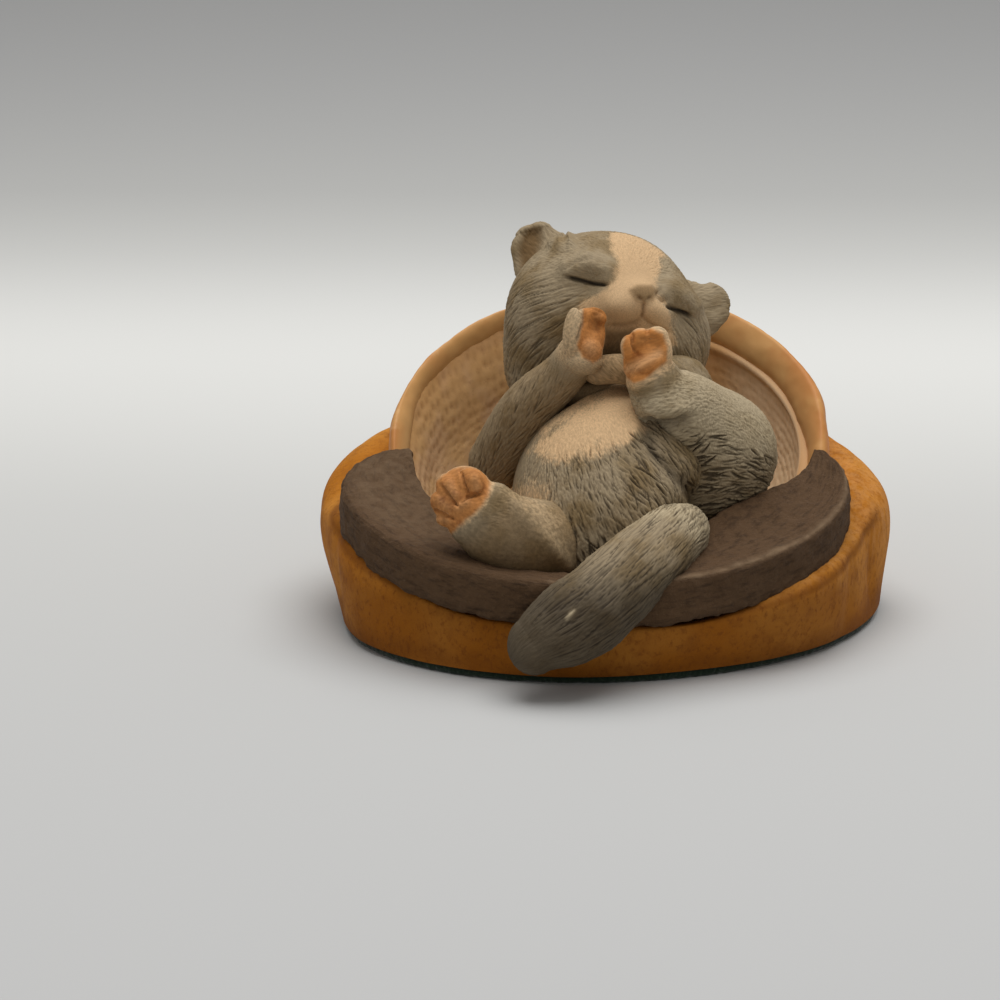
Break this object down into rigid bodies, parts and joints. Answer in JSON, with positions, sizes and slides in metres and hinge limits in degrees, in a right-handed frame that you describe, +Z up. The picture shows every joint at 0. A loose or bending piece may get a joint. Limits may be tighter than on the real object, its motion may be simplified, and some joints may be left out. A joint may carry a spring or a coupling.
{
  "type": "cat figurine",
  "caption": "Small matt painted cast ornament of a kitten asleep on its back in an upturned cap, with a felt pad under its flat foot.",
  "frame": {"origin": "middle of the flat foot, on the table under the figurine", "axes": "+Z up; -Y towards the visor and the kitten's face; +X towards the kitten's left side"},
  "size_m": [0.0725, 0.0706, 0.0482],
  "materials": {
    "felt": "dark green felt",
    "cap_paint": "unglazed, tan orange paint with a brown wash",
    "lining_paint": "unglazed, pale tan paint over a woven relief",
    "binding_paint": "unglazed, yellow tan paint",
    "visor_paint": "unglazed, dark brown paint, dry-brushed",
    "coat_paint": "unglazed, grey and cream paint with a dark wash in carved fur"
  },
  "bodies": {
    "root": {"felt_pad": "felt", "cap_crown": "cap_paint", "cap_lining": "lining_paint", "rim_binding": "binding_paint", "cap_visor": "visor_paint", "torso": "coat_paint", "head": "coat_paint", "right_ear": "coat_paint", "left_ear": "coat_paint", "right_foreleg": "coat_paint", "left_foreleg": "coat_paint", "right_hind_leg": "coat_paint", "left_hind_leg": "coat_paint", "tail": "coat_paint"}
  },
  "joints": []
}
